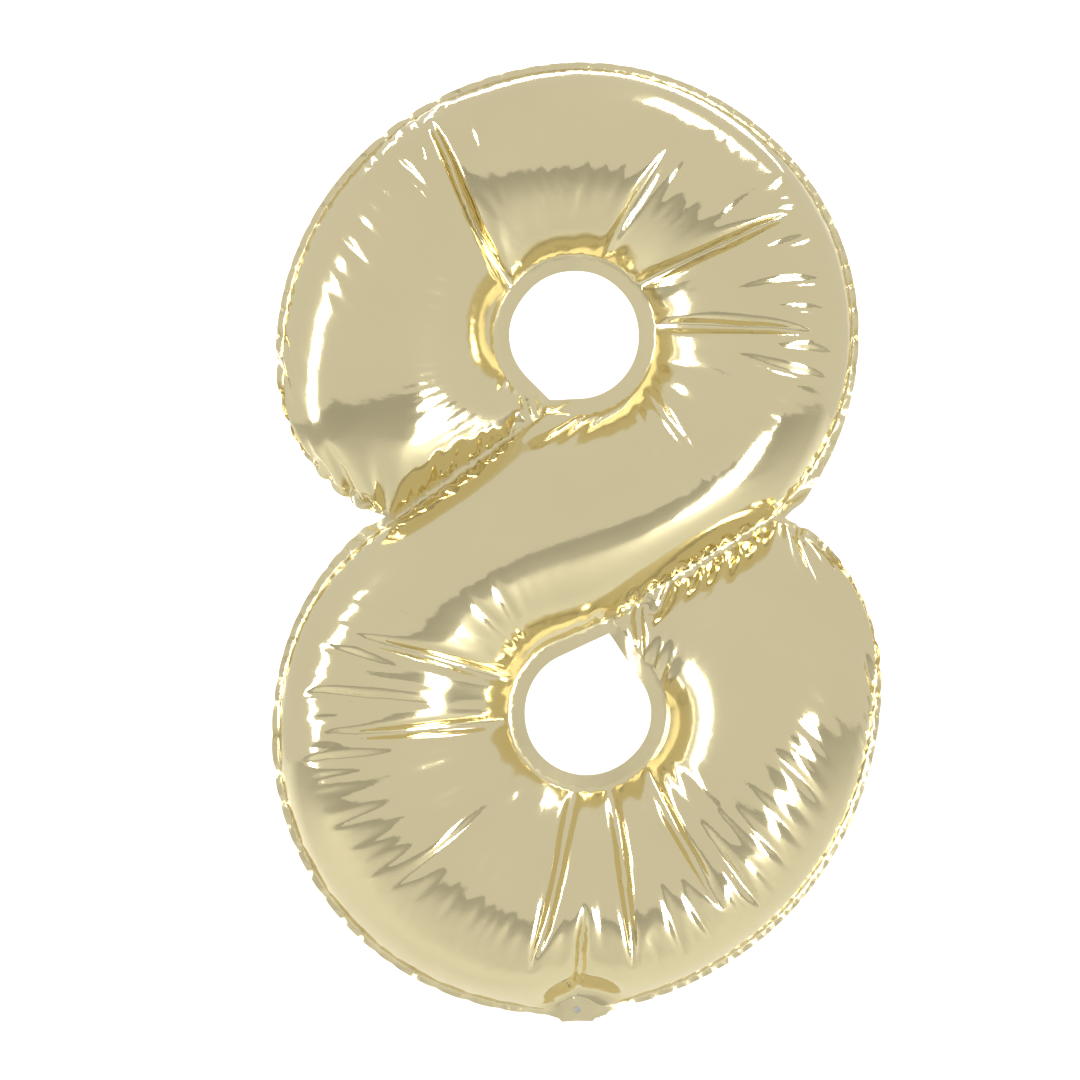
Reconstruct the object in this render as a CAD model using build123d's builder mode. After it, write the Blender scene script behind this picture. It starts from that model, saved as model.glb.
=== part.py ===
"""Foil number balloon, shown inflated.

Two sheets of metallised film are heat-sealed together round an S-shaped tube.
Both ends of the tube are welded back onto its own middle along a slanting slit,
so the tube closes two teardrop holes and reads as the figure eight.
A self-sealing valve of two clear films runs up from the neck at the bottom.

Millimetres, +Z up, front towards -Y, seam plane at Y = 0,
origin at the middle of the neck mouth.
"""
from build123d import *
import os
from math import acos, atan2, cos, exp, hypot, pi, radians, sin, sqrt

# Film sheets: one millimetre stands in for film a few hundredths thick.
FOIL = 1.0
TUBE_HALF_DEPTH = 68.0
RIM_FLANGE = 6.0
NOTCH_FLANGE = 12.0
HOLE_FLANGE = 14.0
WELD_WIDTH = 6.0
END_ROUND = 85.0
SKIRT = 0.4
WALL_FOOT = 1.6
END_DOME = 1.5

# Lobes: centre of the outer edge, its radius, and where it eases into the side notches.
UPPER_CENTRE = (-7.0, 599.0)
UPPER_RADIUS = 265.0
LOWER_CENTRE = (-3.0, 286.0)
LOWER_RADIUS = 272.0
LEFT_NOTCH = (-172.0, 456.0)
RIGHT_NOTCH = (185.0, 457.0)
EASE_ANGLE = radians(34.0)

# Teardrop holes: centre, cut radius and the tip that runs into the slit.
UPPER_HOLE = (-2.7, 620.8)
LOWER_HOLE = (9.9, 280.1)
HOLE_RADIUS = 55.0
UPPER_TIP = (-20.8, 559.3)
LOWER_TIP = (25.3, 353.3)
TIP_SPREAD = radians(24.0)
SEAM_TIP_SHIFT = 20.0

# Neck and valve.
NECK_WIDTH = 38.0
NECK_SHOULDER = 62.0
NECK_HEIGHT = 26.0
NECK_CORNER = 3.0
CHANNEL_WIDTH = 28.0
CHANNEL_DEPTH = 0.6
CHANNEL_TOP = 40.0
CHANNEL_FLOOR = 2.5
INLET_CENTRE = (6.3, 12.0)
INLET_RADIUS = 3.5
VALVE_WIDTH = 24.0
VALVE_LENGTH = 130.0
VALVE_BOTTOM = 3.5
VALVE_FILM = 0.4
VALVE_GAP = 0.1
VALVE_HOLE_RADIUS = 4.0
VALVE_CORNER = 4.0

RING_SECTIONS = 16
DIAGONAL_SECTIONS = 6
END_SECTIONS = 7
END_SHARE = 0.35
RIM_SHARES = 10
BACK_CUT = (900.0, 1200.0)
BACK_CUT_HEIGHT = 430.0


def towards(start, end, share):
    """Point a share of the way from start to end."""
    return tuple(a + (b - a) * share for a, b in zip(start, end))


def distance(start, end):
    return hypot(end[0] - start[0], end[1] - start[1])


def polar(centre, radius, angle):
    return (centre[0] + radius * cos(angle), centre[1] + radius * sin(angle))


def angle_to(centre, point):
    return atan2(point[1] - centre[1], point[0] - centre[0])


def slit_normal(tip, notch):
    """Unit normal of a slit, pointing to the side of the tube end that is welded there."""
    length = distance(tip, notch)
    along = ((notch[0] - tip[0]) / length, (notch[1] - tip[1]) / length)
    return (along[1], -along[0])


def shifted(point, direction, amount):
    return (point[0] + direction[0] * amount, point[1] + direction[1] * amount)


class Lobe:
    """One ring of the figure: a tube end, a turn round the hole, then the diagonal."""

    def __init__(self, hole, tip, slit_notch, far_notch, centre, radius):
        self.hole, self.centre, self.radius = hole, centre, radius
        self.seam_tip = towards(tip, slit_notch, SEAM_TIP_SHIFT / distance(tip, slit_notch))
        self.normal = slit_normal(tip, slit_notch)
        self.slit_notch, self.far_notch = slit_notch, far_notch
        self.start = angle_to(centre, slit_notch)
        self.sweep = self.clockwise(self.start, angle_to(centre, far_notch))
        self.tip_angle = angle_to(hole, self.seam_tip)
        self.tip_reach = distance(hole, self.seam_tip)
        self.hole_sweep = self.clockwise(self.tip_angle, angle_to(hole, far_notch))

    @staticmethod
    def clockwise(start, end):
        turn = start - end
        while turn <= pi / 2:
            turn += 2 * pi
        return turn

    def rim(self, share, flange=0.0):
        """Seam on the outer edge, from the slit notch round to the far notch.

        A flange moves the point out from the seam, to the cut edge of the sheets."""
        angle = self.start - self.sweep * share
        seam_radius = self.radius - RIM_FLANGE
        left, right = self.sweep * share, self.sweep * (1.0 - share)
        for gap, notch in ((left, self.slit_notch), (right, self.far_notch)):
            if gap < EASE_ANGLE:
                dip = seam_radius - distance(self.centre, notch)
                seam_radius -= dip * (1.0 - gap / EASE_ANGLE) ** 2
        return polar(self.centre, seam_radius + flange, angle)

    def hole_seam(self, share):
        """Seam round the hole, from its tip round to the side that faces the far notch."""
        turn = self.hole_sweep * share
        around = HOLE_RADIUS + HOLE_FLANGE
        from_tip = min(turn, 2 * pi - turn)
        around += (self.tip_reach - around) * exp(-((from_tip / TIP_SPREAD) ** 2))
        return polar(self.hole, around, self.tip_angle - turn)

    def end_line(self, side):
        """Slit seam from the tip to the notch, on the tube-end side or the diagonal side."""
        offset = side * WELD_WIDTH / 2
        return (shifted(self.seam_tip, self.normal, offset),
                shifted(self.slit_notch, self.normal, offset))


UPPER = Lobe(UPPER_HOLE, UPPER_TIP, LEFT_NOTCH, RIGHT_NOTCH, UPPER_CENTRE, UPPER_RADIUS)
LOWER = Lobe(LOWER_HOLE, LOWER_TIP, RIGHT_NOTCH, LEFT_NOTCH, LOWER_CENTRE, LOWER_RADIUS)


def ring_section(lobe, share):
    """Inner and outer ends of a section of the ring, starting on the welded tube end."""
    inner, outer = lobe.hole_seam(share), lobe.rim(share)
    end_inner, end_outer = lobe.end_line(1.0)
    settle = exp(-(share * RING_SECTIONS))
    inner = towards(inner, shifted(inner, lobe.normal, WELD_WIDTH / 2), settle)
    outer = towards(outer, shifted(outer, lobe.normal, WELD_WIDTH / 2), settle)
    if share == 0.0:
        return end_inner, end_outer
    return inner, outer


def diagonal_edge(lobe, share):
    """Edge of the diagonal: under the hole to its tip, then along the slit."""
    hole_start = lobe.hole_seam(1.0)
    tip, notch = lobe.end_line(-1.0)
    under = 2 * pi - lobe.hole_sweep
    bend = under * (HOLE_RADIUS + HOLE_FLANGE)
    total = bend + distance(tip, notch)
    along = share * total
    if along <= 0.0:
        return hole_start
    if along < bend:
        return lobe.hole_seam(1.0 + along / bend * under / lobe.hole_sweep)
    return towards(tip, notch, (along - bend) / (total - bend))


def tube_sections():
    """Section ends along the whole tube, with the distance of each from the nearer tube end."""
    ring = []
    steps = [END_SHARE * (1.0 - cos(pi / 2 * k / END_SECTIONS)) for k in range(END_SECTIONS)]
    first = steps[-1]
    steps += [first + (1.0 - first) * k / RING_SECTIONS for k in range(1, RING_SECTIONS + 1)]
    for lobe in (UPPER, LOWER):
        ends = [ring_section(lobe, share) for share in steps]
        travel, distances = 0.0, []
        middle = towards(*ends[0], 0.5)
        for inner, outer in ends:
            here = towards(inner, outer, 0.5)
            travel += distance(middle, here)
            middle = here
            distances.append(travel)
        ring.append((ends, distances))
    sections = [(a, b, far) for (a, b), far in zip(*ring[0])]
    for k in range(1, DIAGONAL_SECTIONS):
        share = k / DIAGONAL_SECTIONS
        sections.append((diagonal_edge(UPPER, share), diagonal_edge(LOWER, 1.0 - share),
                         END_ROUND))
    sections += [(b, a, far) for (a, b), far in reversed(list(zip(*ring[1])))]
    return sections




def section_plane(start, end):
    """Plane across the tube: x runs from seam to seam, y towards the front."""
    run, rise = end[0] - start[0], end[1] - start[1]
    return Plane(origin=(start[0], 0, start[1]), x_dir=(run, 0, rise), z_dir=(rise, 0, -run))


def dome_height(far, wall):
    """Height of the dome above its vertical foot, rounding down to the welded end."""
    reach = END_ROUND - wall
    inward = min(max((far - wall) / reach, 0.0), 1.0)
    full = TUBE_HALF_DEPTH - WALL_FOOT - wall
    return max(full * sqrt(1.0 - (1.0 - inward) ** 2), END_DOME - wall)


def section_face(start, end, far, wall, skirt):
    """Section of the tube: a half ellipse on vertical feet, inset by the wall.

    The skirt carries the section a little behind the seam plane."""
    width = distance(start, end)
    height = dome_height(far, wall)
    with BuildSketch(section_plane(start, end)) as section:
        with BuildLine():
            Polyline((wall, WALL_FOOT), (wall, -skirt), (width - wall, -skirt),
                     (width - wall, WALL_FOOT))
            EllipticalCenterArc((width / 2, WALL_FOOT), width / 2 - wall, height, arc_size=180)
        make_face()
    return section.sketch


SECTIONS = tube_sections()


def cut_edge(lobe):
    """Points of the cut edge between the two notches of a lobe."""
    return [lobe.rim(k / RIM_SHARES, RIM_FLANGE) for k in range(1, RIM_SHARES)]


# Flat outline of the welded sheets, with the neck at the bottom and the two holes open.
with BuildSketch(Plane.XZ) as sheet_outline:
    with BuildLine():
        left_corner = shifted(LEFT_NOTCH, (-1.0, 0.0), NOTCH_FLANGE)
        right_corner = shifted(RIGHT_NOTCH, (1.0, 0.0), NOTCH_FLANGE)
        Spline(left_corner, *cut_edge(UPPER), right_corner)
        Spline(right_corner, *cut_edge(LOWER), left_corner)
    make_face()
    with BuildLine():
        Polyline((-NECK_WIDTH / 2, 0), (NECK_WIDTH / 2, 0),
                 (NECK_SHOULDER / 2, NECK_HEIGHT), (-NECK_SHOULDER / 2, NECK_HEIGHT), close=True)
    make_face()
    fillet(sheet_outline.vertices().group_by(Axis.Y)[0], NECK_CORNER)
    for lobe, tip in ((UPPER, UPPER_TIP), (LOWER, LOWER_TIP)):
        with BuildSketch(Plane.XZ, mode=Mode.PRIVATE) as teardrop:
            with Locations(lobe.hole):
                Circle(HOLE_RADIUS)
            reach = distance(lobe.hole, tip)
            touch = acos(HOLE_RADIUS / reach)
            aim = angle_to(lobe.hole, tip)
            with BuildLine():
                Polyline(lobe.hole, polar(lobe.hole, HOLE_RADIUS, aim + touch), tip,
                         polar(lobe.hole, HOLE_RADIUS, aim - touch), close=True)
            make_face()
        add(teardrop.sketch, mode=Mode.SUBTRACT)

# Room for the valve between the two sheets where the neck is pressed flat.
with BuildSketch(Plane.XZ) as channel_outline:
    with Locations((INLET_CENTRE[0], (CHANNEL_FLOOR + CHANNEL_TOP) / 2)):
        Rectangle(CHANNEL_WIDTH, CHANNEL_TOP - CHANNEL_FLOOR)
with BuildSketch(Plane.XZ) as channel_cover_outline:
    with Locations((INLET_CENTRE[0], (CHANNEL_FLOOR + CHANNEL_TOP) / 2)):
        Rectangle(CHANNEL_WIDTH + 2 * FOIL, CHANNEL_TOP - CHANNEL_FLOOR + 2 * FOIL)

with BuildPart() as tube_outside:
    for a, b, far in SECTIONS:
        add(section_face(a, b, far, 0.0, SKIRT))
    loft()

with BuildPart() as tube_inside:
    for a, b, far in SECTIONS:
        add(section_face(a, b, far, FOIL, 2 * SKIRT))
    loft()

with BuildPart() as behind_seam:
    with Locations((0, SKIRT * 2, BACK_CUT_HEIGHT)):
        Box(BACK_CUT[0], SKIRT * 4, BACK_CUT[1])

with BuildPart() as front_foil_closed:
    add(tube_outside.part)
    add(behind_seam.part, mode=Mode.SUBTRACT)
    extrude(sheet_outline.sketch, amount=FOIL)
    extrude(channel_cover_outline.sketch, amount=FOIL + CHANNEL_DEPTH)
    add(tube_inside.part, mode=Mode.SUBTRACT)
    extrude(channel_outline.sketch, amount=CHANNEL_DEPTH, mode=Mode.SUBTRACT)

with BuildPart() as front_foil:
    add(front_foil_closed.part)
    with BuildSketch(Plane.XZ) as inlet:
        with Locations(INLET_CENTRE):
            Circle(INLET_RADIUS)
    extrude(amount=2 * FOIL + CHANNEL_DEPTH, mode=Mode.SUBTRACT)
front_foil.part.label = "front_foil"


with BuildPart() as back_foil:
    mirror(front_foil_closed.part, about=Plane.XZ)
back_foil.part.label = "back_foil"


def valve_film(depth):
    """One clear valve film, standing from the neck into the tube."""
    with BuildSketch(Plane.XZ.offset(depth)) as film:
        with Locations((INLET_CENTRE[0], VALVE_BOTTOM + VALVE_LENGTH / 2)):
            RectangleRounded(VALVE_WIDTH, VALVE_LENGTH, VALVE_CORNER)
    return film.sketch


with BuildPart() as valve_front_film:
    extrude(valve_film(VALVE_GAP), amount=VALVE_FILM)
    with BuildSketch(Plane.XZ) as film_inlet:
        with Locations(INLET_CENTRE):
            Circle(VALVE_HOLE_RADIUS)
    extrude(amount=2 * VALVE_FILM, mode=Mode.SUBTRACT)
valve_front_film.part.label = "valve_front_film"

with BuildPart() as valve_back_film:
    extrude(valve_film(-VALVE_GAP - VALVE_FILM), amount=VALVE_FILM)
valve_back_film.part.label = "valve_back_film"

os.makedirs("parts", exist_ok=True)
export_step(front_foil.part, "parts/front_foil.step")
export_step(back_foil.part, "parts/back_foil.step")
export_step(valve_front_film.part, "parts/valve_front_film.step")
export_step(valve_back_film.part, "parts/valve_back_film.step")
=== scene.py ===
"""Foil number balloon: the looks.

The two foil sheets are drawn flat, joined along the rim, the two holes, the two slits
and the neck, and blown up by a small membrane simulation that leads the seams to their
finished places. The long creases and the depth come from the simulation. The gathers
along the seams come from film lengths that are shortened or lengthened there, and the
scallops of the rim and the fine wrinkles are formulas.
Metres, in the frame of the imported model: +Z up, front towards -Y.
"""
import math

import bpy
import numpy as np
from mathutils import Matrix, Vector
from mathutils.bvhtree import BVHTree
from mathutils.geometry import delaunay_2d_cdt
from mathutils.kdtree import KDTree


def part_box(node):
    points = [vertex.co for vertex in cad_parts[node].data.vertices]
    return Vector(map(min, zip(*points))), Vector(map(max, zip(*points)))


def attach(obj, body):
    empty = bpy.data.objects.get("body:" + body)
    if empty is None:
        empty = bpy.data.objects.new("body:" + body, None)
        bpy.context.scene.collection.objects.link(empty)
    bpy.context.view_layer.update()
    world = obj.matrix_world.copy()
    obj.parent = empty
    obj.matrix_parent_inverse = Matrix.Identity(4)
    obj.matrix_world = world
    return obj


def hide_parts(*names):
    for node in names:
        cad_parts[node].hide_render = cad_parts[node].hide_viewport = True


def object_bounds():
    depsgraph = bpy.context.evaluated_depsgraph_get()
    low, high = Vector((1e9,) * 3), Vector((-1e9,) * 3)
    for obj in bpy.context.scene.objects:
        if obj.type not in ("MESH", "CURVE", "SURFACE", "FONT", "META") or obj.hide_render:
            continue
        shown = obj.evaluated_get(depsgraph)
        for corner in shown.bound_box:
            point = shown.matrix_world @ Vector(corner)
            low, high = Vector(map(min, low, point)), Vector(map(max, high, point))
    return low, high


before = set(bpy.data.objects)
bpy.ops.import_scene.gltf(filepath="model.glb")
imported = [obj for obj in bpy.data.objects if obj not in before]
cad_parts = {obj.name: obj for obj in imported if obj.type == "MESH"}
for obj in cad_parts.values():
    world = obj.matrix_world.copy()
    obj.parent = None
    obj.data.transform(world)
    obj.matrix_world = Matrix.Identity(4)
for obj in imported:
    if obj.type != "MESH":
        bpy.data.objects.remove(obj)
cad_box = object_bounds()

MM = 0.001
TURN = 2 * math.pi
SEED = 8

# Seams of the blown-up balloon. Points are (x, z); the flat sheets are worked out from them.
UPPER_RING = {
    "centre": (-0.0084, 0.6151), "radius": 0.2517, "oval": 0.0074, "oval_angle": 0.21,
    "hole": (-0.0027, 0.6208), "hole_radius": 0.070, "tip": (-0.0290, 0.5500),
    "notch": (-0.1654, 0.4545)}
LOWER_RING = {
    "centre": (-0.0010, 0.2793), "radius": 0.2682, "oval": 0.0097, "oval_angle": 0.73,
    "hole": (0.0099, 0.2801), "hole_radius": 0.068, "tip": (0.0325, 0.3640),
    "notch": (0.1790, 0.4590)}
WELD_WIDTH = 6 * MM

# The rim dips to each notch over this angle, and is worked out at this many points.
NOTCH_EASE = 0.6
RIM_SAMPLES = 400

# Film outside the seams: round the rim, in the holes, at their tips and at the notches, and
# the angle over which it narrows to a notch.
RIM_FLANGE = 6 * MM
HOLE_FLANGE = 14 * MM
TIP_FLANGE = 12 * MM
NOTCH_FLANGE = 9 * MM
FLANGE_TAPER = 0.08

# How much wider the flat sheets are: across the diagonal, and at the rim.
BAND_CENTRE = (0.0020, 0.4560)
BAND_ANGLE = math.radians(34)
BAND_SPREAD = 1.26
RIM_SLACK = 0.034

# Neck: a flat tab below the rim, with the inlet through its front film.
NECK_X = 0.006
NECK_WIDTH = 38 * MM
NECK_SHOULDER = 60 * MM
NECK_REACH = 6 * MM
NECK_RISE = 9 * MM
NECK_BEND = 0.55
NECK_CORNER = 3 * MM
INLET_RADIUS = 3.5 * MM
INLET_HEIGHT = 10 * MM
INLET_SPACING = INLET_RADIUS / 3

# The neck is pressed flat out to a distance, keeps a share of its depth, and eases into the tube.
NECK_FLAT_REACH = 0.022
NECK_EASE = 0.03
NECK_WAVE = 0.01

# Flat mesh: how far grid points stray, their gap to a border, both in spacings, and tolerances.
GRID_JITTER = 0.22
BORDER_GAP = 0.6
SAME_PLACE = 1e-7
LEAST_AREA = 1e-11
LEAST_FOLD = 1e-6
ON_EDGE = 1e-6
NO_LENGTH = 1e-12
NO_SPAN = 1e-9

# Simulation: mesh spacing, steps and share of speed kept, for each level from coarse to fine.
LEVELS = ((0.014, 2500, 0.99), (0.008, 700, 0.97), (0.005, 400, 0.97), (0.003, 250, 0.97))
PRESSURE = 0.2
PRESSURE_EVERY = 4
FOLD_STIFFNESS = 0.02
WELD_FOLD_STIFFNESS = 0.3
SLOW_START = 150
SLOW_DAMPING = 0.85
START_DEPTH = 0.03
START_REACH = 0.11

# Each sheet is raised by this along its normals, so that welded sheets don't coincide.
FILM_GAP = 0.25 * MM

# Leading the seams: pull at one mesh spacing, which film counts as rim or slit, and the share
# of speed that a point keeps when it is put back over a slit.
SEAM_PULL = 0.4
RIM_PULL = 0.6
PULL_SPACING = 0.02
RIM_DEPTH = 0.004
RIM_OUTSIDE = 0.015
SEAM_WAVE = 0.010
SLIT_SHARE = 0.7
SLIT_REACH = 0.15
CROSSING_SPEED = 0.5

# Film lengths: shortened round the rim, lengthened beside the slits and the holes.
RIM_GATHER = 0.10
GATHER_DEPTH = 0.09
SLIT_PUCKER = 0.08
HOLE_PUCKER = 0.03
PUCKER_REACH = 0.03

# Scallops of the rim. A drift is (size, rate, start) of a wave that makes their spacing uneven.
SCALLOPS = 72
SCALLOP_DEPTH = 0.003
SCALLOP_LEAST = 0.15
SCALLOP_LEFT = 1.3
SCALLOP_RIGHT = 0.6
SCALLOP_DRIFT = ((1.7, 5.3, 0), (1.1, 11.7, 1))
SCALLOP_POWER = 6

# Fine wrinkles: how many in a turn, their height, and the distances from a hole they lie between.
FINE_WRINKLES = 94
FINE_HEIGHT = 0.28 * MM
FINE_START = 0.035
FINE_END = 0.115
FINE_DRIFT = (2.1, 7, 0)
FINE_SLANT = 40
FINE_SLANT_WAVE = (1.2, 17)
FINE_PATCHES = 13
FINE_PATCH_DRIFT = (2, 3, 0)
FINE_PATCH_MEAN = 0.55
FINE_PATCH_SWING = 0.45
FINE_SEAM_REACH = 0.02
FINE_BAND_HALF = 0.10
FINE_BAND_EASE = 0.04

# Valve films: they lie together in the neck, and part further up in the tube.
VALVE_COLUMNS = 13
VALVE_ROWS = 61
VALVE_PART_HEIGHT = 0.03
VALVE_PART_LENGTH = 0.04
VALVE_NECK_GAP = 0.0001
VALVE_TUBE_GAP = 0.0012
VALVE_WAVE = 0.0008
VALVE_WAVES_ACROSS = 9
VALVE_WAVES_UP = 14
VALVE_THICKNESS = 0.06 * MM

# Studio: the balloon hangs free above the floor.
FLOOR = -0.55
FLOOR_STEPS = 12
FIGURE_MIDDLE = (0, 0, 0.43)


# ---------------------------------------------------------------- flat outline
def unit(vector):
    return vector / np.linalg.norm(vector)


def even_line(start, end, spacing):
    """Evenly spaced points from start to end."""
    start, end = np.asarray(start, float), np.asarray(end, float)
    count = max(1, math.ceil(np.linalg.norm(end - start) / spacing))
    return start + (end - start) * np.linspace(0, 1, count + 1)[:, None]


def resampled(points, spacing):
    """The same path with even spacing."""
    travel = np.r_[0, np.cumsum(np.linalg.norm(np.diff(points, axis=0), axis=1))]
    count = max(2, math.ceil(travel[-1] / spacing))
    at = np.linspace(0, travel[-1], count + 1)
    return np.column_stack([np.interp(at, travel, points[:, k]) for k in (0, 1)])


def circle_arc(centre, radius, start, end, spacing):
    """Evenly spaced points on an arc."""
    count = max(2, math.ceil(abs(end - start) * radius / spacing))
    angles = np.linspace(start, end, count + 1)
    return np.column_stack((centre[0] + radius * np.cos(angles),
                            centre[1] + radius * np.sin(angles)))


def angle_to(centre, point):
    return math.atan2(point[1] - centre[1], point[0] - centre[0])


def past(angle, reference, sign):
    """The angle, moved by full turns to lie just past the reference in the given direction."""
    turn = (angle - reference) * sign % TURN
    return reference + sign * turn


def joined(parts):
    """One closed loop from paths that meet end to end."""
    points = np.vstack(parts)
    step = np.linalg.norm(points - np.roll(points, 1, axis=0), axis=1)
    return points[step > SAME_PLACE]


def spread(point, radius=0.0):
    """The place on the flat sheet of a point, or of a circle that keeps its radius."""
    along = np.array((math.cos(BAND_ANGLE), math.sin(BAND_ANGLE)))
    arm = np.subtract(point, BAND_CENTRE)
    across = arm - along * (arm @ along)
    near = 1 - radius / np.linalg.norm(across)
    return np.array(point) + across * near * (BAND_SPREAD - 1)


def flattened(ring):
    """The ring as it lies on the flat sheet."""
    hole = spread(ring["hole"], ring["hole_radius"])
    return dict(ring, aim=ring, hole=hole, tip=spread(ring["tip"]), notch=spread(ring["notch"]),
                centre=ring["centre"] + hole - ring["hole"], radius=ring["radius"] + RIM_SLACK)


FLAT_UPPER = flattened(UPPER_RING)
FLAT_LOWER = flattened(LOWER_RING)


def rim_radius(ring, angle):
    """Radius of a ring, slightly oval, before the notches."""
    return ring["radius"] + ring["oval"] * np.cos(2 * (angle - ring["oval_angle"]))


def rim_reach(ring, ends, angles):
    """Distance of the rim from the ring's centre; it dips to a notch at either end."""
    reach = rim_radius(ring, angles)
    for end in ends:
        at = angle_to(ring["centre"], end)
        gap = np.abs((angles - at + math.pi) % TURN - math.pi)
        dip = np.linalg.norm(end - ring["centre"]) - rim_radius(ring, at)
        reach = reach + dip * np.clip(1 - gap / NOTCH_EASE, 0, 1) ** 2
    return reach


def uneven(angles, rate, drifts):
    """Phase of waves round a circle, with uneven spacing."""
    phase = rate * angles
    for size, drift_rate, start in drifts:
        phase = phase + size * np.sin(drift_rate * angles + start)
    return phase


def scallops(angles):
    """Depth of the fine gathers of the rim: strong on the left and half way up on the right."""
    left = np.clip(-np.cos(angles) * SCALLOP_LEFT, 0, 1)
    right = np.clip(1 - np.abs(np.sin(angles)) / SCALLOP_RIGHT, 0, 1) * (np.cos(angles) > 0)
    phase = uneven(angles, SCALLOPS, SCALLOP_DRIFT)
    return (SCALLOP_DEPTH * (SCALLOP_LEAST + left + right)
            * np.cos(phase / 2) ** SCALLOP_POWER)


def rim_angles(ring, ends):
    """Angles of the two ends of a rim, clockwise, seen from the ring's centre."""
    first, last = (angle_to(ring["centre"], end) for end in ends)
    return first, past(last, first, -1)


def rim_position(ring, other, points):
    """Share of the way round a rim and distance outside it, for every point."""
    ends = (ring["notch"], other["notch"])
    first, last = rim_angles(ring, ends)
    arm = points - ring["centre"]
    turn = (first - np.arctan2(arm[:, 1], arm[:, 0])) % TURN
    outward = np.linalg.norm(arm, axis=1) - rim_reach(ring, ends, first - turn)
    return turn / (first - last), outward


def rim_path(ring, ends, spacing, flange=0.0):
    """Outer edge of a ring, clockwise from one notch to the other."""
    first, last = rim_angles(ring, ends)
    angles = np.linspace(first, last, RIM_SAMPLES)
    taper = np.minimum(np.minimum(first - angles, angles - last) / FLANGE_TAPER, 1)
    reach = rim_reach(ring, ends, angles) + flange * taper
    path = ring["centre"] + reach[:, None] * np.column_stack((np.cos(angles), np.sin(angles)))
    path[0], path[-1] = ends
    return resampled(path, spacing)


def teardrop(centre, radius, first_tip, last_tip, spacing):
    """Round hole drawn out to a tip, counter-clockwise from tip to tip."""
    ends = []
    for tip, side in ((first_tip, 1), (last_tip, -1)):
        reach = np.linalg.norm(np.subtract(tip, centre))
        ends.append(angle_to(centre, tip) + side * math.acos(radius / reach))
    ends[1] = past(ends[1], ends[0], 1)
    arc = circle_arc(centre, radius, ends[0], ends[1], spacing)
    return [even_line(first_tip, arc[0], spacing), arc, even_line(arc[-1], last_tip, spacing)]


def slit_lines(ring):
    """Seam ends of a slit: (tip, notch) on the tube-end side and on the diagonal side."""
    tip, notch = np.array(ring["tip"]), np.array(ring["notch"])
    along = unit(tip - notch)
    across = across_of(along) * WELD_WIDTH / 2
    return (tip - across, notch - across), (tip + across, notch + across)


def across_of(along):
    """The direction to the right of another."""
    return np.array((along[1], -along[0]))


def teardrop_reach(ring, turn):
    """Distance from the centre of a hole to its seam, by the angle from its tip."""
    tip_reach = np.linalg.norm(np.subtract(ring["tip"], ring["hole"]))
    tangent = math.acos(ring["hole_radius"] / tip_reach)
    return ring["hole_radius"] / np.cos(np.clip(tangent - np.abs(turn), 0, None))


def hole_position(ring, points):
    """Angle from the tip of a hole and distance outside its seam, for every point."""
    arm = points - ring["hole"]
    turn = np.arctan2(arm[:, 1], arm[:, 0]) - angle_to(ring["hole"], ring["tip"])
    turn = (turn + math.pi) % TURN - math.pi
    return turn, np.linalg.norm(arm, axis=1) - teardrop_reach(ring, turn)


def slit_position(ring, points):
    """Distance along and beside a slit for every point, the slit's length and direction."""
    line = ring["notch"] - ring["tip"]
    length, along = np.linalg.norm(line), unit(line)
    return (points - ring["tip"]) @ along, (points - ring["tip"]) @ across_of(along), length, along


def chamber_loop(spacing):
    """Seam round the gas chamber."""
    parts = []
    for ring, other in ((FLAT_UPPER, FLAT_LOWER), (FLAT_LOWER, FLAT_UPPER)):
        start = slit_lines(ring)[0][1]
        (end_tip, end_notch), (side_tip, side_notch) = slit_lines(other)
        rim = rim_path(ring, (start, side_notch), spacing)
        if ring is FLAT_LOWER:
            rim[:, 1] += neck_rise(rim)
        parts.append(rim)
        parts.append(even_line(side_notch, side_tip, spacing))
        parts += teardrop(other["hole"], other["hole_radius"], side_tip, end_tip, spacing)
        parts.append(even_line(end_tip, end_notch, spacing))
    return joined(parts)


def neck_rise(path):
    """How much the seam climbs above the neck."""
    low = path[:, 1] < FLAT_LOWER["centre"][1]
    across = np.clip((path[:, 0] - NECK_X) / NECK_SHOULDER, -0.5, 0.5)
    return np.where(low, NECK_RISE * np.cos(math.pi * across) ** 2, 0)


def neck_bottom():
    """Height of the mouth of the neck on the flat sheets."""
    centre = FLAT_LOWER["centre"]
    reach = rim_radius(FLAT_LOWER, angle_to(centre, (NECK_X, 0)))
    return centre[1] - reach - RIM_FLANGE - NECK_REACH


def neck_points():
    """Corner points of the neck, clockwise seen from the front."""
    bottom = neck_bottom()
    half, shoulder, corner = NECK_WIDTH / 2, NECK_SHOULDER / 2, NECK_CORNER
    bend = bottom + NECK_BEND * NECK_REACH
    outline = [(shoulder, bottom + NECK_REACH), (half, bend),
               (half, bottom + corner), (half - corner, bottom),
               (corner - half, bottom), (-half, bottom + corner),
               (-half, bend), (-shoulder, bottom + NECK_REACH)]
    return np.array(outline) + (NECK_X, 0)


def cut_loop(spacing):
    """Outer cut edge of the sheets, with the neck."""
    out = np.array((NOTCH_FLANGE, 0))
    left, right = np.array(FLAT_UPPER["notch"]) - out, np.array(FLAT_LOWER["notch"]) + out
    upper = rim_path(FLAT_UPPER, (left, right), spacing, RIM_FLANGE)
    lower = rim_path(FLAT_LOWER, (right, left), spacing, RIM_FLANGE)
    neck = neck_points()
    low = lower[:, 1] < FLAT_LOWER["centre"][1]
    inside_neck = low & (np.abs(lower[:, 0] - NECK_X) < NECK_SHOULDER / 2 + spacing / 2)
    first, last = np.flatnonzero(inside_neck)[[0, -1]]
    neck_path = [even_line(a, b, spacing) for a, b in zip(neck[:-1], neck[1:])]
    return joined([upper, lower[:first]] + neck_path + [lower[last + 1:]])


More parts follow.
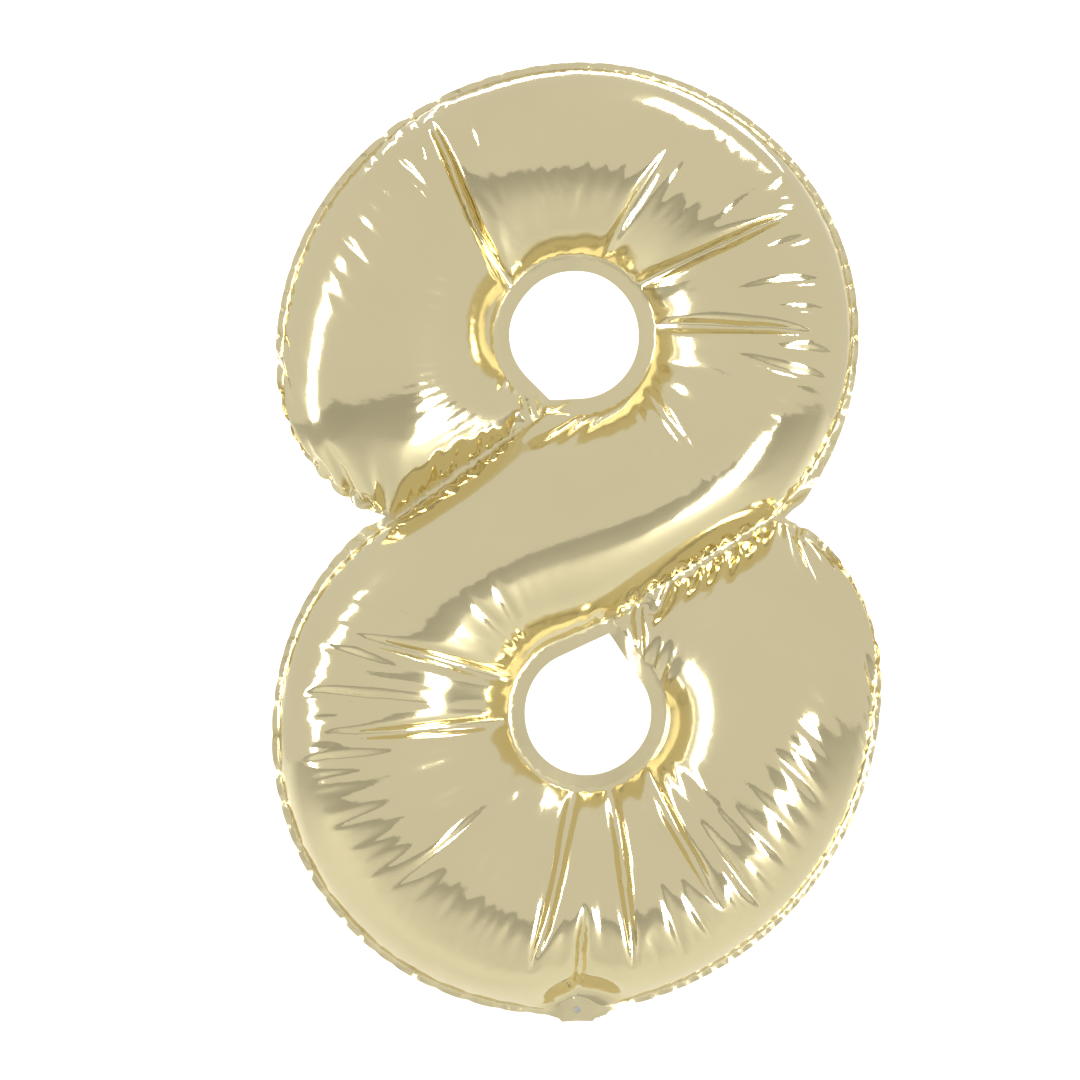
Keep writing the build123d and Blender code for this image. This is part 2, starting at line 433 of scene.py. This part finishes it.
def hole_loop(ring, spacing):
    """Cut edge of a hole."""
    centre, tip = np.array(ring["hole"]), np.array(ring["tip"])
    cut_tip = tip + unit(centre - tip) * TIP_FLANGE
    return joined(teardrop(centre, ring["hole_radius"] - HOLE_FLANGE, cut_tip, cut_tip, spacing))


def inlet_loop(spacing):
    """Edge of the inlet."""
    centre = (NECK_X, neck_bottom() + INLET_HEIGHT)
    return circle_arc(centre, INLET_RADIUS, 0, TURN, min(spacing, INLET_SPACING))[:-1]


# ---------------------------------------------------------------- flat mesh
def inside(loop, points):
    """Which points lie inside a closed loop."""
    order = np.argsort(points[:, 1])
    height = points[order, 1]
    crossed = np.zeros(len(points), bool)
    for (ax, az), (bx, bz) in zip(loop, np.roll(loop, -1, axis=0)):
        if az == bz:
            continue
        low, high = np.searchsorted(height, (min(az, bz), max(az, bz)))
        rows = order[low:high]
        x_at = ax + (points[rows, 1] - az) * (bx - ax) / (bz - az)
        crossed[rows] ^= points[rows, 0] < x_at
    return crossed


def distances(points, targets):
    """Distance of every point from the nearest target."""
    near = KDTree(len(targets))
    for k, (x, z) in enumerate(targets):
        near.insert((x, z, 0), k)
    near.balance()
    return np.array([near.find((x, z, 0))[2] for x, z in points])


def corner_cross(points, triangles):
    """Twice the area of every triangle, negative if it runs clockwise."""
    a, b, c = (points[triangles[:, k]] for k in range(3))
    return np.cross(b - a, c - a)


def flat_mesh(spacing, random):
    """One flat sheet as triangles.

    Returns its points and triangles, which triangles are in the gas chamber and which in
    the inlet, and which points are on the seam.
    """
    chamber = chamber_loop(spacing)
    cut = cut_loop(spacing)
    holes = [hole_loop(ring, spacing) for ring in (FLAT_UPPER, FLAT_LOWER)]
    inlet = inlet_loop(spacing)
    loops = [chamber, cut] + holes + [inlet]
    border = np.vstack(loops)
    low, high = border.min(axis=0), border.max(axis=0)
    rows = np.arange(low[1], high[1], spacing * math.sqrt(3) / 2)
    columns = np.arange(low[0], high[0], spacing)
    grid_x, grid_z = np.meshgrid(columns, rows)
    grid_x = grid_x + spacing / 2 * (np.arange(len(rows)) % 2)[:, None]
    grid = np.column_stack((grid_x.ravel(), grid_z.ravel()))
    grid += random.uniform(-GRID_JITTER, GRID_JITTER, grid.shape) * spacing
    grid = grid[inside(cut, grid) & ~inside(holes[0], grid) & ~inside(holes[1], grid)]
    clear = distances(grid, border) > BORDER_GAP * spacing
    points = np.vstack((border, grid[clear]))
    edges, first = [], 0
    for loop in loops:
        count = len(loop)
        edges += [(first + k, first + (k + 1) % count) for k in range(count)]
        first += count
    result = delaunay_2d_cdt([Vector(p) for p in points], edges, [], 0, SAME_PLACE)
    points = np.array([tuple(p) for p in result[0]])
    triangles = np.array(result[2])
    middles = points[triangles].mean(axis=1)
    keep = inside(cut, middles) & ~inside(holes[0], middles) & ~inside(holes[1], middles)
    triangles = triangles[keep & (np.abs(corner_cross(points, triangles)) > LEAST_AREA)]
    flipped = corner_cross(points, triangles) < 0
    triangles[flipped] = triangles[flipped][:, ::-1]
    used, triangles = np.unique(triangles, return_inverse=True)
    triangles = triangles.reshape(-1, 3)
    points = points[used]
    middles = points[triangles].mean(axis=1)
    in_chamber = inside(chamber, middles)
    in_inlet = inside(inlet, middles)
    on_seam = np.isin(used, np.arange(len(chamber)))
    return points, triangles, in_chamber, in_inlet, on_seam


def edges_and_folds(triangles):
    """Edges of a mesh, and the two far corners of every pair of triangles that share an edge."""
    edges = np.vstack([triangles[:, pair] for pair in ((0, 1), (1, 2), (2, 0))])
    far = triangles[:, (2, 0, 1)].T.ravel()
    edges.sort(axis=1)
    key = edges[:, 0] * (edges.max() + 1) + edges[:, 1]
    order = np.argsort(key, kind="stable")
    key, edges, far = key[order], edges[order], far[order]
    first = np.flatnonzero(np.r_[True, key[1:] != key[:-1]])
    count = np.diff(np.r_[first, len(key)])
    pairs = first[count == 2]
    return edges[first], np.column_stack((far[pairs], far[pairs + 1]))


class Seam:
    """Leads the rim, hole and slit of a ring to their places.

    It also keeps the tubes beside the slit on their own sides.
    """

    def __init__(self, ring, other, sheet):
        aim = ring["aim"]
        flat = sheet.flat[sheet.source]
        welded = sheet.welded[sheet.source]
        run, side, length, _ = slit_position(ring, flat)
        self.tip, self.notch = np.array(aim["tip"]), np.array(aim["notch"])
        self.along = unit(self.notch - self.tip)
        self.across = across_of(self.along)
        self.length = np.linalg.norm(self.notch - self.tip)
        slit = welded & (np.abs(side) < SLIT_SHARE * WELD_WIDTH) & (run > 0) & (run < length)
        slit_place = (self.tip + np.outer(run / length * self.length, self.along)
                      + np.outer(side, self.across))
        turn, away = hole_position(ring, flat)
        hole = welded & (away < ON_EDGE) & ~slit
        reach = teardrop_reach(aim, turn) + away
        direction = turn + angle_to(aim["hole"], aim["tip"])
        hole_place = np.array(aim["hole"]) + reach[:, None] * np.column_stack(
            (np.cos(direction), np.sin(direction)))
        aim_ends = (np.array(aim["notch"]), np.array(other["aim"]["notch"]))
        aim_first, aim_last = rim_angles(aim, aim_ends)
        share, outward = rim_position(ring, other, flat)
        rim = welded & ~slit & ~hole & (share < 1) & (outward > -RIM_DEPTH)
        rim &= outward < RIM_OUTSIDE
        direction = aim_first + share * (aim_last - aim_first)
        reach = rim_reach(aim, aim_ends, direction) + outward - scallops(direction)
        rim_place = aim["centre"] + reach[:, None] * np.column_stack(
            (np.cos(direction), np.sin(direction)))
        self.rows = np.flatnonzero(slit | hole | rim)
        places = np.where(slit[:, None], slit_place, np.where(rim[:, None], rim_place, hole_place))
        self.place = places[self.rows]
        near = ~welded & (np.abs(side) < SLIT_REACH) & (run > 0) & (run < length)
        self.end_side = np.flatnonzero(near & (side > 0))
        self.diagonal_side = np.flatnonzero(near & (side < 0))
        strength = np.where(rim, RIM_PULL, SEAM_PULL)[self.rows]
        self.pull = strength * (sheet.spacing / PULL_SPACING) ** 2

    def lead(self, axis, place, force):
        """Pull towards the finished place, across the front only."""
        if axis != 1:
            force[self.rows] += self.pull * (self.place[:, axis // 2] - place[axis][self.rows])

    def hold(self, place, speed):
        """Moves points that crossed the slit back onto it."""
        for rows, sign in ((self.end_side, 1), (self.diagonal_side, -1)):
            x, z = place[0][rows] - self.tip[0], place[2][rows] - self.tip[1]
            run = x * self.along[0] + z * self.along[1]
            side = (x * self.across[0] + z * self.across[1]) * sign
            over = (run > 0) & (run < self.length) & (side < 0)
            crossed = rows[over]
            for axis, part in ((0, self.across[0]), (2, self.across[1])):
                place[axis][crossed] -= side[over] * sign * part
                speed[axis][crossed] *= CROSSING_SPEED


def smooth_step(value):
    """Rises smoothly from 0 to 1 as the value does."""
    value = np.clip(value, 0, 1)
    return value * value * (3 - 2 * value)


def gathered(flat, pairs):
    """Rest length between points.

    It is shorter along the rim, and longer beside the slits and the holes, where the film
    gathers finely.
    """
    start, end = flat[pairs[:, 0]], flat[pairs[:, 1]]
    middle, line = (start + end) / 2, end - start
    length = np.linalg.norm(line, axis=1)
    shrink = np.zeros(len(pairs))
    for ring, other in ((FLAT_UPPER, FLAT_LOWER), (FLAT_LOWER, FLAT_UPPER)):
        share, outward = rim_position(ring, other, middle)
        arm = middle - ring["centre"]
        radial = np.abs(np.einsum("ij,ij->i", arm, line))
        radial /= np.linalg.norm(arm, axis=1) * length + NO_LENGTH
        gather = RIM_GATHER * smooth_step(1 + outward / GATHER_DEPTH) * (share < 1)
        gather[outward > RIM_OUTSIDE] = 0
        shrink = np.maximum(shrink, gather * (1 - radial ** 2))
    for ring in (FLAT_UPPER, FLAT_LOWER):
        run, side, slit_length, along = slit_position(ring, middle)
        near = smooth_step(1 - np.abs(side) / PUCKER_REACH) * (run > 0) * (run < slit_length)
        shrink -= SLIT_PUCKER * near * ((line @ along) / (length + NO_LENGTH)) ** 2
        turn, away = hole_position(ring, middle)
        near = smooth_step(1 - np.abs(away) / PUCKER_REACH) * (away > 0)
        arm = middle - ring["hole"]
        radial = np.einsum("ij,ij->i", arm, line)
        radial = radial / (np.linalg.norm(arm, axis=1) * length + NO_LENGTH)
        shrink -= HOLE_PUCKER * near * (1 - radial ** 2)
    return length * (1 - shrink)


class Balloon:
    """Both sheets as springs: along every edge, and across every fold."""

    def __init__(self, spacing, random):
        self.spacing = spacing
        self.flat, self.triangles, chamber, self.in_inlet, on_seam = flat_mesh(spacing, random)
        count = len(self.flat)
        free = np.zeros(count, bool)
        free[self.triangles[chamber]] = True
        free &= ~on_seam
        self.welded = ~free
        self.chamber = chamber
        self.back = np.arange(count)
        self.back[free] = count + np.arange(free.sum())
        self.source = np.r_[np.arange(count), np.flatnonzero(free)]
        self.total = len(self.source)
        self.shell = np.vstack((self.triangles[chamber],
                                self.back[self.triangles[chamber]][:, ::-1]))
        every = np.vstack((self.shell, self.triangles[~chamber]))
        flat = self.flat[self.source]
        edges, folds = edges_and_folds(every)
        self.edge = np.ascontiguousarray(edges.T)
        self.edge_rest = gathered(flat, edges)
        fold_rest = gathered(flat, folds)
        open_folds = fold_rest > LEAST_FOLD
        folds, self.fold_rest = folds[open_folds], fold_rest[open_folds]
        self.fold = np.ascontiguousarray(folds.T)
        both_welded = self.welded[self.source][folds].all(axis=1)
        self.fold_stiff = np.where(both_welded, WELD_FOLD_STIFFNESS, FOLD_STIFFNESS)
        ends = self.edge.ravel()
        self.mass = np.bincount(ends, minlength=self.total).astype(float)
        stiff = np.tile(self.fold_stiff, 2)
        self.mass += np.bincount(self.fold.ravel(), stiff, minlength=self.total)
        self.seams = [Seam(FLAT_UPPER, FLAT_LOWER, self), Seam(FLAT_LOWER, FLAT_UPPER, self)]
        self.welded_rows = np.flatnonzero(self.welded)

    def seam_distance(self):
        """Distance of every flat point from the nearest welded point."""
        return distances(self.flat, self.flat[self.welded])

    def pillow(self):
        """First guess of the shape: a low dome between the seams."""
        away = self.seam_distance()
        rise = START_DEPTH * np.sqrt(1 - (1 - np.minimum(away / START_REACH, 1)) ** 2)
        side = np.where(np.arange(self.total) < len(self.flat), -1, 1)
        flat = self.flat[self.source]
        return [flat[:, 0].copy(), rise[self.source] * side, flat[:, 1].copy()]

    def taken_from(self, coarse, place):
        """The shape of a coarser balloon, read off at this one's points."""
        new = [np.empty(self.total) for _ in range(3)]
        count = len(self.flat)
        for rows, part in ((np.flatnonzero(~self.welded), coarse.chamber),
                           (self.welded_rows, ~coarse.chamber)):
            corners = coarse.triangles[part]
            tree = BVHTree.FromPolygons([(x, z, 0) for x, z in coarse.flat], corners.tolist())
            hits = np.array([tree.find_nearest((x, z, 0))[2] for x, z in self.flat[rows]])
            corners = corners[hits]
            a, b, c = (coarse.flat[corners[:, k]] for k in range(3))
            p = self.flat[rows]
            area = np.cross(b - a, c - a)
            share_b = np.clip(np.cross(p - a, c - a) / area, 0, 1)
            share_c = np.clip(np.cross(b - a, p - a) / area, 0, 1 - share_b)
            shares = (1 - share_b - share_c, share_b, share_c)
            for axis in range(3):
                new[axis][rows] = sum(s * place[axis][corners[:, k]]
                                      for k, s in enumerate(shares))
                if part is coarse.chamber:
                    new[axis][count:] = sum(s * place[axis][coarse.back[corners[:, k]]]
                                            for k, s in enumerate(shares))
        return new

    def gas_push(self, place):
        """Force of the gas on every point."""
        a, b, c = self.shell.T
        ab = [p[b] - p[a] for p in place]
        ac = [p[c] - p[a] for p in place]
        push = []
        for k in range(3):
            u, w = (k + 1) % 3, (k + 2) % 3
            force = (ab[u] * ac[w] - ab[w] * ac[u]) * (PRESSURE / 6)
            push.append(sum(np.bincount(i, force, minlength=self.total) for i in (a, b, c)))
        return push

    def relax(self, place, steps, damping):
        """Lets the springs and the gas settle."""
        speed = [np.zeros(self.total) for _ in range(3)]
        i, j = self.edge
        m, n = self.fold
        for step in range(steps):
            keep = damping if step > SLOW_START else SLOW_DAMPING
            if step % PRESSURE_EVERY == 0:
                push = self.gas_push(place)
                for seam in self.seams:
                    seam.hold(place, speed)
                depth = place[1][self.welded_rows]
                place[1][self.welded_rows] = np.clip(depth, -SEAM_WAVE, SEAM_WAVE)
            along = [p[j] - p[i] for p in place]
            length = np.sqrt(along[0] ** 2 + along[1] ** 2 + along[2] ** 2)
            pull = 1 - self.edge_rest / length
            across = [p[n] - p[m] for p in place]
            span = np.sqrt(across[0] ** 2 + across[1] ** 2 + across[2] ** 2) + NO_SPAN
            open_up = np.minimum(1 - self.fold_rest / span, 0) * self.fold_stiff
            for k in range(3):
                f, g = along[k] * pull, across[k] * open_up
                force = push[k] + np.bincount(i, f, minlength=self.total)
                force -= np.bincount(j, f, minlength=self.total)
                force += np.bincount(m, g, minlength=self.total)
                force -= np.bincount(n, g, minlength=self.total)
                for seam in self.seams:
                    seam.lead(k, place, force)
                speed[k] = speed[k] * keep + force / self.mass
                place[k] = place[k] + speed[k]
        return place


def inflated():
    """The finished balloon mesh and the place of each of its points."""
    random = np.random.default_rng(SEED)
    balloon = place = None
    for spacing, steps, damping in (LEVELS):
        finer = Balloon(spacing, random)
        place = finer.pillow() if balloon is None else finer.taken_from(balloon, place)
        balloon = finer
        place = balloon.relax(place, steps, damping)
    return balloon, np.column_stack(place)


# ---------------------------------------------------------------- meshes
def pressed_neck(place):
    """The balloon with its neck pressed flat."""
    away = np.hypot(place[:, 0] - NECK_X, place[:, 2])
    keep = NECK_WAVE + (1 - NECK_WAVE) * smooth_step((away - NECK_FLAT_REACH) / NECK_EASE)
    return place * np.column_stack((np.ones(len(place)), keep, np.ones(len(place))))


def fine_wrinkles(flat, away_from_seam):
    """Height of the fine parallel wrinkles half way across the tube, round each hole."""
    height = np.zeros(len(flat))
    band = np.abs((flat - BAND_CENTRE) @ (math.sin(BAND_ANGLE), -math.cos(BAND_ANGLE)))
    off_band = smooth_step((band - FINE_BAND_HALF) / FINE_BAND_EASE)
    middle = (FINE_START + FINE_END) / 2
    for ring in (FLAT_UPPER, FLAT_LOWER):
        turn, away = hole_position(ring, flat)
        window = smooth_step(1 - np.abs(away - middle) / (middle - FINE_START))
        slant = (*FINE_SLANT_WAVE, away * FINE_SLANT)
        phase = uneven(turn, FINE_WRINKLES, (FINE_DRIFT, slant))
        patch_phase = uneven(turn, FINE_PATCHES, (FINE_PATCH_DRIFT,))
        patch = FINE_PATCH_MEAN + FINE_PATCH_SWING * np.sin(patch_phase)
        height += window * patch * np.sin(phase) * off_band
    return FINE_HEIGHT * height * smooth_step(away_from_seam / FINE_SEAM_REACH)


def mesh_from(name, points, triangles):
    """A smooth-shaded mesh."""
    mesh = bpy.data.meshes.new(name)
    mesh.vertices.add(len(points))
    mesh.vertices.foreach_set("co", points.ravel())
    mesh.loops.add(triangles.size)
    mesh.loops.foreach_set("vertex_index", triangles.ravel())
    mesh.polygons.add(len(triangles))
    mesh.polygons.foreach_set("loop_start", np.arange(0, triangles.size, 3))
    mesh.update(calc_edges=True)
    mesh.shade_smooth()
    mesh.validate()
    return mesh


def add_object(name, mesh, material):
    """A new object in the scene, of one mesh and one material."""
    thing = bpy.data.objects.new(name, mesh)
    bpy.context.collection.objects.link(thing)
    mesh.materials.append(material)
    return thing


def foil_sheet(name, balloon, place, away, front, material):
    """One sheet of the balloon, raised along its normals by the film gap and fine wrinkles."""
    rows = balloon.triangles[~balloon.in_inlet] if front else balloon.triangles[:, ::-1]
    ids = rows if front else balloon.back[rows]
    used, triangles = np.unique(ids, return_inverse=True)
    triangles = triangles.reshape(-1, 3)
    points = place[used]
    corner = points[triangles]
    normal = np.cross(corner[:, 1] - corner[:, 0], corner[:, 2] - corner[:, 0])
    normals = np.zeros_like(points)
    for k in range(3):
        for axis in range(3):
            normals[:, axis] += np.bincount(triangles[:, k], normal[:, axis], len(points))
    normals /= np.linalg.norm(normals, axis=1)[:, None]
    source = balloon.source[used]
    lift = FILM_GAP + fine_wrinkles(balloon.flat[source], away[source])
    mesh = mesh_from(name, points + normals * lift[:, None], triangles)
    flat = mesh.attributes.new("flat", "FLOAT_VECTOR", "POINT")
    flat.data.foreach_set("vector", np.column_stack((balloon.flat[source],
                                                     np.zeros(len(used)))).ravel())
    weld = mesh.attributes.new("seam_distance", "FLOAT", "POINT")
    weld.data.foreach_set("value", away[source])
    return add_object(name, mesh, material)


# ---------------------------------------------------------------- materials
class Nodes:
    """Small helper that adds nodes to one material and links them."""

    def __init__(self, name):
        self.material = bpy.data.materials.new(name)
        self.material.use_nodes = True
        self.tree = self.material.node_tree
        self.shader = self.tree.nodes["Principled BSDF"]

    def add(self, kind, **settings):
        node = self.tree.nodes.new(kind)
        for key, value in settings.items():
            setattr(node, key, value)
        return node

    def link(self, output, target):
        self.tree.links.new(output, target)

    def noise(self, vector, scale, detail):
        node = self.add("ShaderNodeTexNoise")
        node.inputs["Scale"].default_value = scale
        node.inputs["Detail"].default_value = detail
        self.link(vector, node.inputs["Vector"])
        return node.outputs["Fac"]

    def ramp(self, factor, low, high, start, end):
        """Maps a factor from one range to another."""
        node = self.add("ShaderNodeMapRange")
        for key, value in (("From Min", low), ("From Max", high), ("To Min", start),
                           ("To Max", end)):
            node.inputs[key].default_value = value
        self.link(factor, node.inputs["Value"])
        return node.outputs["Result"]

    def math(self, kind, first, second):
        node = self.add("ShaderNodeMath", operation=kind)
        for slot, value in zip(node.inputs, (first, second)):
            if isinstance(value, (int, float)):
                slot.default_value = value
            else:
                self.link(value, slot)
        return node.outputs[0]

    def mix_colour(self, factor, first, second):
        node = self.add("ShaderNodeMix", data_type="RGBA")
        self.link(factor, node.inputs["Factor"])
        node.inputs["A"].default_value = (*first, 1)
        node.inputs["B"].default_value = (*second, 1)
        return node.outputs["Result"]

    def bump(self, height, distance, strength, below=None):
        node = self.add("ShaderNodeBump")
        node.inputs["Distance"].default_value = distance
        node.inputs["Strength"].default_value = strength
        self.link(height, node.inputs["Height"])
        if below is not None:
            self.link(below, node.inputs["Normal"])
        return node.outputs["Normal"]


def gold_film():
    """Metallised film: champagne gold mirror with faint haze, and a duller, embossed weld."""
    nodes = Nodes("gold_film")
    flat = nodes.add("ShaderNodeAttribute", attribute_name="flat").outputs["Vector"]
    away = nodes.add("ShaderNodeAttribute", attribute_name="seam_distance").outputs["Fac"]
    on_weld = nodes.ramp(away, low=0.2 * MM, high=1.5 * MM, start=1.0, end=0.0)
    haze = nodes.noise(flat, scale=9.0, detail=3.0)
    tint = nodes.mix_colour(haze, (0.80, 0.70, 0.42), (0.86, 0.76, 0.47))
    nodes.link(tint, nodes.shader.inputs["Base Color"])
    nodes.shader.inputs["Metallic"].default_value = 1.0
    film_rough = nodes.ramp(haze, low=0.3, high=0.7, start=0.07, end=0.12)
    weld_rough = nodes.math("MULTIPLY", on_weld, 0.12)
    rough = nodes.math("ADD", film_rough, weld_rough)
    nodes.link(rough, nodes.shader.inputs["Roughness"])
    ripple = nodes.noise(flat, scale=45.0, detail=2.0)
    soft = nodes.bump(ripple, distance=0.0006, strength=0.35)
    grain = nodes.noise(flat, scale=600.0, detail=2.0)
    crisp = nodes.bump(grain, distance=0.0001, strength=0.15, below=soft)
    emboss = nodes.math("MULTIPLY", nodes.noise(flat, scale=1500.0, detail=1.0), on_weld)
    finish = nodes.bump(emboss, distance=0.0003, strength=0.5, below=crisp)
    nodes.link(finish, nodes.shader.inputs["Normal"])
    return nodes.material


def clear_film():
    """Valve film: thin, clear and slightly milky."""
    nodes = Nodes("clear_film")
    place = nodes.add("ShaderNodeTexCoord").outputs["Object"]
    cloud = nodes.noise(place, scale=60.0, detail=3.0)
    nodes.link(nodes.mix_colour(cloud, (0.86, 0.88, 0.88), (0.95, 0.95, 0.94)),
               nodes.shader.inputs["Base Color"])
    nodes.link(nodes.ramp(cloud, low=0.3, high=0.7, start=0.12, end=0.3),
               nodes.shader.inputs["Roughness"])
    nodes.shader.inputs["Transmission Weight"].default_value = 0.85
    nodes.shader.inputs["IOR"].default_value = 1.2
    ripple = nodes.noise(place, scale=350.0, detail=2.0)
    nodes.link(nodes.bump(ripple, distance=0.0002, strength=0.4), nodes.shader.inputs["Normal"])
    return nodes.material


# ---------------------------------------------------------------- valve
def valve_film(name, side, material):
    """One valve film, from the flat neck up into the tube."""
    low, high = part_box(name)
    width, length = high[0] - low[0], high[2] - low[2]
    across, up = np.meshgrid(np.linspace(-0.5, 0.5, VALVE_COLUMNS),
                             np.linspace(0, 1, VALVE_ROWS))
    x = (low[0] + high[0]) / 2 + across * width
    z = low[2] + up * length
    parted = np.clip((z - VALVE_PART_HEIGHT) / VALVE_PART_LENGTH, 0, 1)
    y = side * (VALVE_NECK_GAP + VALVE_TUBE_GAP * parted)
    wave = np.sin(across * VALVE_WAVES_ACROSS + side) * np.sin(up * VALVE_WAVES_UP)
    y = y + VALVE_WAVE * parted * wave
    points = np.column_stack((x.ravel(), y.ravel(), z.ravel()))
    index = np.arange(VALVE_ROWS * VALVE_COLUMNS).reshape(VALVE_ROWS, VALVE_COLUMNS)
    a, b, c, d = index[:-1, :-1], index[:-1, 1:], index[1:, 1:], index[1:, :-1]
    triangles = np.concatenate((np.stack((a, b, c), -1), np.stack((a, c, d), -1)))
    title = name.replace("film", "sleeve")
    film = add_object(title, mesh_from(title, points, triangles.reshape(-1, 3)), material)
    solid = film.modifiers.new("thickness", "SOLIDIFY")
    solid.thickness = VALVE_THICKNESS
    return film


# ---------------------------------------------------------------- studio
def area_light(name, place, aim, width, height, power):
    """A white softbox that points at a place."""
    data = bpy.data.lights.new(name, "AREA")
    data.shape = "RECTANGLE"
    data.size, data.size_y = width, height
    data.energy = power
    lamp = bpy.data.objects.new(name, data)
    bpy.context.collection.objects.link(lamp)
    lamp.location = place
    lamp.rotation_euler = (Vector(aim) - Vector(place)).to_track_quat("-Z", "Y").to_euler()


def floor_material():
    """Darker towards the front and paler towards the backdrop: the darker front is painted shade,
    so that the film's underside mirrors a calmer tone.
    """
    nodes = Nodes("studio_floor")
    place = nodes.add("ShaderNodeTexCoord").outputs["Object"]
    split = nodes.add("ShaderNodeSeparateXYZ")
    nodes.link(place, split.inputs["Vector"])
    # Painted shade: the floor's base colour darkens towards the camera, for the foil to mirror.
    far = nodes.ramp(split.outputs["Y"], low=0.6, high=1.9, start=0.0, end=1.0)
    nodes.link(nodes.mix_colour(far, (0.55, 0.55, 0.54), (0.92, 0.92, 0.91)),
               nodes.shader.inputs["Base Color"])
    nodes.shader.inputs["Roughness"].default_value = 0.8
    return nodes.material


def sweep_floor():
    """Pale floor that curves up into a backdrop."""
    near, depth, radius, top, half = -4.0, 2.4, 0.8, 3.0, 4.0
    path = [(near, FLOOR)]
    for k in range(FLOOR_STEPS + 1):
        angle = math.pi / 2 * k / FLOOR_STEPS
        path.append((depth + radius * math.sin(angle), FLOOR + radius * (1 - math.cos(angle))))
    path.append((depth + radius, top))
    points = np.array([(x, y, z) for y, z in path for x in (-half, half)])
    rows = np.arange(len(path) - 1) * 2
    first = np.column_stack((rows, rows + 1, rows + 3))
    second = np.column_stack((rows, rows + 3, rows + 2))
    mesh = mesh_from("studio_floor", points, np.vstack((first, second)))
    return add_object("studio_floor", mesh, floor_material())


def studio():
    """Floor, softboxes and an even pale surround."""
    sweep_floor()
    area_light("low_right_box", (1.05, -1.30, -0.25), FIGURE_MIDDLE, 0.50, 0.85, 18)
    area_light("left_box", (-1.9, -0.7, 0.75), FIGURE_MIDDLE, 0.30, 1.5, 17)
    area_light("top_box", (0.9, -0.3, 2.3), FIGURE_MIDDLE, 0.5, 0.9, 12)
    area_light("back_wash", (0, 1.2, 2.4), (0, 2.6, 0.4), 3.0, 1.0, 90)
    world = bpy.data.worlds.new("studio")
    bpy.context.scene.world = world
    world.use_nodes = True
    back = world.node_tree.nodes["Background"]
    back.inputs["Color"].default_value = (0.95, 0.95, 0.95, 1)
    back.inputs["Strength"].default_value = 0.75


def camera():
    """Straight-on view from the photographer's distance."""
    data = bpy.data.cameras.new("camera")
    eye = bpy.data.objects.new("camera", data)
    bpy.context.collection.objects.link(eye)
    distance, view_height = 2.0, 0.976
    across, up = -0.036, 0.4355
    data.angle = 2 * math.atan(view_height / 2 / distance)
    eye.location = (across, -distance, up)
    eye.rotation_euler = (math.pi / 2, 0, 0)
    bpy.context.scene.camera = eye


# ---------------------------------------------------------------- put together
gold, clear = gold_film(), clear_film()
balloon, place = inflated()
shift = np.array(((cad_box[0][0] + cad_box[1][0] - place[:, 0].min() - place[:, 0].max()) / 2,
                  0, -place[:, 2].min()))
place = pressed_neck(place + shift)
away = balloon.seam_distance()
for name, front in (("front_foil", True), ("back_foil", False)):
    sheet = foil_sheet(name + "_film", balloon, place, away, front, gold)
    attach(sheet, "root")
    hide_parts(name)
for name, side in (("valve_front_film", -1), ("valve_back_film", 1)):
    film = valve_film(name, side, clear)
    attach(film, "root")
    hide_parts(name)
studio()
camera()
bpy.context.scene.view_settings.view_transform = "Standard"
